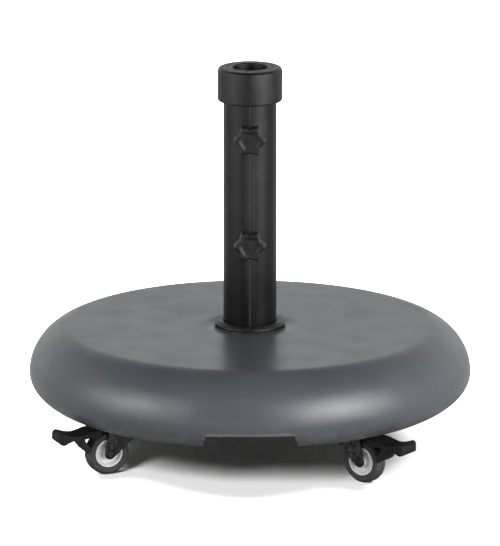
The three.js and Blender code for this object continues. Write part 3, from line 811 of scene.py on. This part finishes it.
def build_fork(corner, home, trail, axle_z):
    """Bent sheet: the section of the bend along X, cut to the side view, joined to a round crown."""
    low, high = extent(f"fork_{corner}", home)
    top = high.z
    crown_r = -low.x
    section = rounded([
        (-FORK_HALF, 0, 0), (-FORK_HALF, top, 2.6 * MM), (FORK_HALF, top, 2.6 * MM), (FORK_HALF, 0, 0),
        (FORK_HALF - FORK_SHEET, 0, 0), (FORK_HALF - FORK_SHEET, top - FORK_SHEET, 0.8 * MM),
        (FORK_SHEET - FORK_HALF, top - FORK_SHEET, 0.8 * MM), (FORK_SHEET - FORK_HALF, 0, 0)], 6)
    fork = object_from("fork", prism("fork", section, -15 * MM, trail + 12 * MM, axis="x"))
    side = rounded([(-14 * MM, top + 1 * MM, 0), (-14 * MM, top - 5 * MM, 3 * MM),
                    (trail - FORK_EYE_R * 0.78, axle_z - FORK_EYE_R * 0.63, 3 * MM)], 5, False)
    side += arc(trail, axle_z, FORK_EYE_R, 222, 367, 20)
    side += rounded([(trail + FORK_EYE_R, axle_z + 0.8 * MM, 0), (26 * MM, top - 5 * MM, 2 * MM),
                     (19 * MM, top - FORK_SHEET, 0), (17.5 * MM, top + 1 * MM, 0)], 5, False)[1:]
    mask = object_from("mask", prism("mask", side, -20 * MM, 20 * MM, axis="y"))
    boolean(fork, mask, "INTERSECT")
    crown = object_from("crown", turned("crown", rounded([
        (0, top - FORK_SHEET, 0), (crown_r, top - FORK_SHEET, 0.3 * MM),
        (crown_r, top, 0.8 * MM), (0, top, 0)], 4, False), 96, True))
    boolean(fork, crown, "UNION")
    king = object_from("king", turned("king", [
        (0, 45 * MM), (KING_HOLE_R, 45 * MM), (KING_HOLE_R, 65 * MM), (0, 65 * MM)], 48, True))
    boolean(fork, king, "DIFFERENCE")
    boolean(fork, rod_tool(AXLE_HOLE_R, trail, axle_z), "DIFFERENCE")
    pin_low, pin_high = extent(f"pedal_pin_{corner}", home)
    boolean(fork, rod_tool(PIN_HOLE_R, (pin_low.x + pin_high.x) / 2, (pin_low.z + pin_high.z) / 2), "DIFFERENCE")
    ease_edges(fork, 0.35 * MM, 2, 50)
    apply_modifiers(fork)
    fork.data.transform(home)
    stand_for(shade(fork, 40), f"fork_{corner}", FORK_COAT)


def build_pedal(corner, home, trail, wheel_r):
    """A moulded lever: a thick round nose that the foot presses, and below it the leg that brakes the tread."""
    low, high = extent(f"brake_pedal_{corner}", home)
    pin_low, pin_high = extent(f"pedal_pin_{corner}", home)
    pin_x, pin_z = (pin_low.x + pin_high.x) / 2, (pin_low.z + pin_high.z) / 2
    nose, wing = high.x, high.y
    nose_x = nose - PEDAL_NOSE_R
    side = arc(pin_x, pin_z, 2.6 * MM, 90, 270, 12)
    side += rounded([(12.3 * MM, 48 * MM, 0), (28 * MM, 45.6 * MM, 2 * MM), (45 * MM, 42.2 * MM, 0.8 * MM),
                     (46.5 * MM, 46 * MM, 2 * MM), (57.5 * MM, 46 * MM, 2.5 * MM), (48 * MM, 33 * MM, 0.4 * MM),
                     (48 * MM, 29 * MM, 0.4 * MM), (52.8 * MM, 29 * MM, 1.6 * MM), (65 * MM, 45 * MM, 3 * MM),
                     (68 * MM, 45 * MM, 0)], 5, False)
    side += bezier((68 * MM, 45 * MM), (71 * MM, 44.8 * MM), (73 * MM, 43 * MM),
                   (nose_x - 4.4 * MM, PEDAL_NOSE_Z - 4.65 * MM), 8)[1:]
    side += arc(nose_x, PEDAL_NOSE_Z, PEDAL_NOSE_R, 227, 462, 24)
    side += bezier((nose_x - 1.5 * MM, PEDAL_NOSE_Z + 6.22 * MM), (73 * MM, 50.8 * MM), (68 * MM, 49 * MM),
                   (62 * MM, 49.6 * MM), 10)[1:]
    side += bezier((62 * MM, 49.6 * MM), (57 * MM, 50.1 * MM), (52 * MM, 52.6 * MM), (45 * MM, 53.4 * MM), 10)[1:]
    side += [(23 * MM, 54 * MM), (20.5 * MM, 52.2 * MM)]
    pedal = object_from("pedal", prism("pedal", side, -wing - 1 * MM, wing + 1 * MM, axis="y"))
    plan = rounded([
        (0, -PEDAL_NECK, 0), (30 * MM, -PEDAL_NECK, 3 * MM), (36 * MM, -wing, 3 * MM), (nose, -wing, 7 * MM),
        (nose, wing, 7 * MM), (36 * MM, wing, 3 * MM), (30 * MM, PEDAL_NECK, 3 * MM), (0, PEDAL_NECK, 0)], 8)
    mask = object_from("mask", prism("mask", plan, 25 * MM, 60 * MM))
    boolean(pedal, mask, "INTERSECT")
    ease_edges(pedal, 1.1 * MM, 3, 40)
    apply_modifiers(pedal)
    boolean(pedal, rod_tool(wheel_r + 0.3 * MM, trail, wheel_r, segments=128), "DIFFERENCE")
    boolean(pedal, rod_tool(PIN_HOLE_R, pin_x, pin_z), "DIFFERENCE")
    pedal.data.transform(home)
    stand_for(shade(pedal, 40), f"brake_pedal_{corner}", PEDAL_BLACK)


def build_castor_head(corner, home):
    """The swivel race and the kingpin, above the fork."""
    low, high = extent(f"swivel_bearing_{corner}", home)
    middle = (low.z + high.z) / 2
    bore, rim = 5.3 * MM, (high.x - low.x) / 2
    race = object_from("race", turned("race", rounded([
        (bore, low.z, 0), (rim - 3 * MM, low.z, 0.8 * MM), (rim, middle - 0.3 * MM, 0.5 * MM),
        (rim - 1.6 * MM, middle, 0.1 * MM), (rim - 0.2 * MM, middle + 0.3 * MM, 0.5 * MM),
        (rim - 2 * MM, high.z, 0.8 * MM), (bore, high.z, 0)], 4), 96), home)
    stand_for(shade(race), f"swivel_bearing_{corner}", ZINC)

    low, high = extent(f"kingpin_{corner}", home)
    head = low.z + 3.7 * MM
    pin = object_from("pin", turned("pin", rounded([
        (0, low.z, 0), (4.4 * MM, low.z, 1.4 * MM), (6 * MM, low.z + 1.8 * MM, 1 * MM), (6 * MM, head, 0.2 * MM),
        (4.7 * MM, head, 0), (4.7 * MM, high.z, 0.3 * MM), (0, high.z, 0)], 4, False), 64, True), home)
    stand_for(shade(pin), f"kingpin_{corner}", ZINC)


for castor_corner in CORNERS:
    build_castor(castor_corner)


# ---- plain pieces: the CAD's own shape with eased edges --------------------------------------------

EASED = {"concrete_core": (CONCRETE, 1.5 * MM), "cross_bar_lower": (FORK_COAT, 0.5 * MM),
         "cross_bar_upper": (FORK_COAT, 0.5 * MM), "centre_bolt": (ZINC, 0.5 * MM),
         "centre_washer": (ZINC, 0.4 * MM), "stem_foot": (ZINC, 0.4 * MM)}
EASED.update({f"castor_plate_{corner}": (ZINC, 0.4 * MM) for corner in CORNERS})
for eased_node, (eased_material, eased_edge) in EASED.items():
    cad_object = frame["nodes"][eased_node]
    eased = object_from(eased_node, cad_object.data.copy(), cad_object.matrix_world)
    ease_edges(eased, eased_edge, 2, 40)
    stand_for(apply_modifiers(eased), eased_node, eased_material)


# ---- floor, light and camera ----------------------------------------------------------------------

WORLD_FRONT = 0.3     # strength of the surround in front of the object, behind it and overhead
WORLD_BACK = 0.93
WORLD_CEILING = 0.1
FLOOR_HALF = 9.0
FLOOR_UNSEEN = (0.12, 0.12, 0.12, 1)  # the floor's colour in bounced light
CAMERA_PLACE = (0, -7.1, 1.949)
CAMERA_DROP = 0.018   # how far below the object's middle it aims
CAMERA_MARGIN = 1.13  # width of the frame, in widths of the object
BACKDROP = 1.05  # the surround as the camera sees it
AMBIENT_SHARE = 0.3  # how much of the surround lights matt surfaces
MIRRORED_SHARE = 1.7  # of a softbox, in shiny surfaces
FLOOR_SUN = 5
FLOOR_SUN_ANGLE = 18  # degrees
FLOOR_SUNS = ((-25, 31), (90, 44), (180, 44), (-90, 46))  # azimuth from the front, elevation


def build_floor():
    """A plain pale floor. Only the camera sees it pale, so it throws little light up under the disc."""
    half = FLOOR_HALF
    mesh = prism("floor", [(-half, -half), (half, -half), (half, half), (-half, half)], -20 * MM, 0)
    floor = object_from("floor", mesh)
    look = Look("studio_floor")
    tone = look.noise(0.6, 2)
    pale = look.mix(look.ramp(tone, 0.3, 0.7), (0.86, 0.86, 0.86, 1), (0.88, 0.88, 0.88, 1))
    seen = look.add("ShaderNodeLightPath").outputs["Is Camera Ray"]
    colour = look.mix(seen, FLOOR_UNSEEN, pale)
    mesh.materials.append(look.finish(colour, 0.8, Specular_IOR_Level=0.2))
    return floor


def build_world():
    """A studio surround: bright low down behind the object, dimmer in front, dark overhead; even to the camera."""
    world = bpy.data.worlds.new("studio")
    world.use_nodes = True
    tree = world.node_tree
    background = tree.nodes["Background"]
    direction = tree.nodes.new("ShaderNodeSeparateXYZ")
    tree.links.new(tree.nodes.new("ShaderNodeTexCoord").outputs["Generated"], direction.inputs[0])

    def fade(value, low, high, to_low, to_high):
        node = tree.nodes.new("ShaderNodeMapRange")
        node.interpolation_type = "SMOOTHSTEP"
        tree.links.new(value, node.inputs["Value"])
        for key, number in (("From Min", low), ("From Max", high), ("To Min", to_low), ("To Max", to_high)):
            node.inputs[key].default_value = number
        return node.outputs[0]

    def product(a, b):
        node = tree.nodes.new("ShaderNodeMath")
        node.operation = "MULTIPLY"
        tree.links.new(a, node.inputs[0])
        tree.links.new(b, node.inputs[1])
        return node.outputs[0]

    around = fade(direction.outputs["Y"], -0.4, 0.5, WORLD_FRONT, WORLD_BACK)
    lean = tree.nodes.new("ShaderNodeMath")
    lean.operation = "MULTIPLY_ADD"
    tree.links.new(direction.outputs["Y"], lean.inputs[0])
    lean.inputs[1].default_value = 0.2
    tree.links.new(direction.outputs["Z"], lean.inputs[2])
    above = fade(lean.outputs[0], 0.55, 1.0, 1.0, WORLD_CEILING)
    ray = tree.nodes.new("ShaderNodeLightPath").outputs
    matt = fade(ray["Is Diffuse Ray"], 0.0, 1.0, 1.0, AMBIENT_SHARE)
    backdrop = tree.nodes.new("ShaderNodeMix")
    tree.links.new(ray["Is Camera Ray"], backdrop.inputs["Factor"])
    tree.links.new(product(product(around, above), matt), backdrop.inputs["A"])
    backdrop.inputs["B"].default_value = BACKDROP
    tree.links.new(backdrop.outputs["Result"], background.inputs["Strength"])
    background.inputs["Color"].default_value = (0.98, 0.99, 1.0, 1)
    bpy.context.scene.world = world


def light_only(light, obj, state):
    """Makes a light reach nothing but obj, or everything but obj."""
    group = bpy.data.collections.new(light.name + "_" + state.lower())
    group.objects.link(obj)
    group.collection_objects[0].light_linking.link_state = state
    light.light_linking.receiver_collection = group


def softbox(floor, name, azimuth, elevation, distance, size, power):
    """A soft light aimed at the disc. Azimuth is from the front, to the right.

    It is two lights in one place: one lights matt surfaces, the other is only seen mirrored.
    """
    turn, lift = math.radians(azimuth), math.radians(elevation)
    aim = Vector((0, 0, 0.15))
    place = aim + distance * Vector((math.sin(turn) * math.cos(lift), -math.cos(turn) * math.cos(lift), math.sin(lift)))
    for kind, share in (("matt", 1), ("mirrored", MIRRORED_SHARE)):
        data = bpy.data.lights.new(f"{name}_{kind}", "AREA")
        data.shape = "RECTANGLE"
        data.size, data.size_y = size
        data.energy = power * share
        light = bpy.data.objects.new(data.name, data)
        light.visible_diffuse = kind == "matt"
        light.visible_glossy = kind == "mirrored"
        bpy.context.scene.collection.objects.link(light)
        light.location = place
        light.rotation_euler = (aim - place).to_track_quat("-Z", "Y").to_euler()
        light_only(light, floor, "EXCLUDE")


def light_floor(floor):
    """Soft lights from all sides that reach only the floor, so that just its middle is shaded."""
    for azimuth, elevation in FLOOR_SUNS:
        data = bpy.data.lights.new(f"floor_light_{azimuth}", "SUN")
        data.energy = FLOOR_SUN
        data.angle = math.radians(FLOOR_SUN_ANGLE)
        light = bpy.data.objects.new(data.name, data)
        bpy.context.scene.collection.objects.link(light)
        light.rotation_euler = (math.radians(90 - elevation), 0, math.radians(azimuth))
        light_only(light, floor, "INCLUDE")


def build_camera():
    """Long lens from the front, looking down about 14 degrees at the middle of the object."""
    low, high = (Vector(corner) for corner in cad_box)
    aim = Vector((0, 0, (low.z + high.z) / 2 - CAMERA_DROP))
    place = Vector(CAMERA_PLACE)
    data = bpy.data.cameras.new("camera")
    data.sensor_fit = "HORIZONTAL"
    data.sensor_width = 36
    frame_width = (high.x - low.x) * CAMERA_MARGIN
    data.lens = data.sensor_width * (place - aim).length / frame_width
    data.clip_end = 100
    camera = bpy.data.objects.new("camera", data)
    bpy.context.scene.collection.objects.link(camera)
    camera.location = place
    camera.rotation_euler = (aim - place).to_track_quat("-Z", "Y").to_euler()
    bpy.context.scene.camera = camera


studio_floor = build_floor()
light_floor(studio_floor)
build_world()
softbox(studio_floor, "softbox_right", 47, 12, 2.6, (1.7, 1.6), 96)
softbox(studio_floor, "softbox_left", -60, 14, 2.8, (1.9, 1.4), 54)
build_camera()
bpy.context.scene.view_settings.view_transform = "Standard"
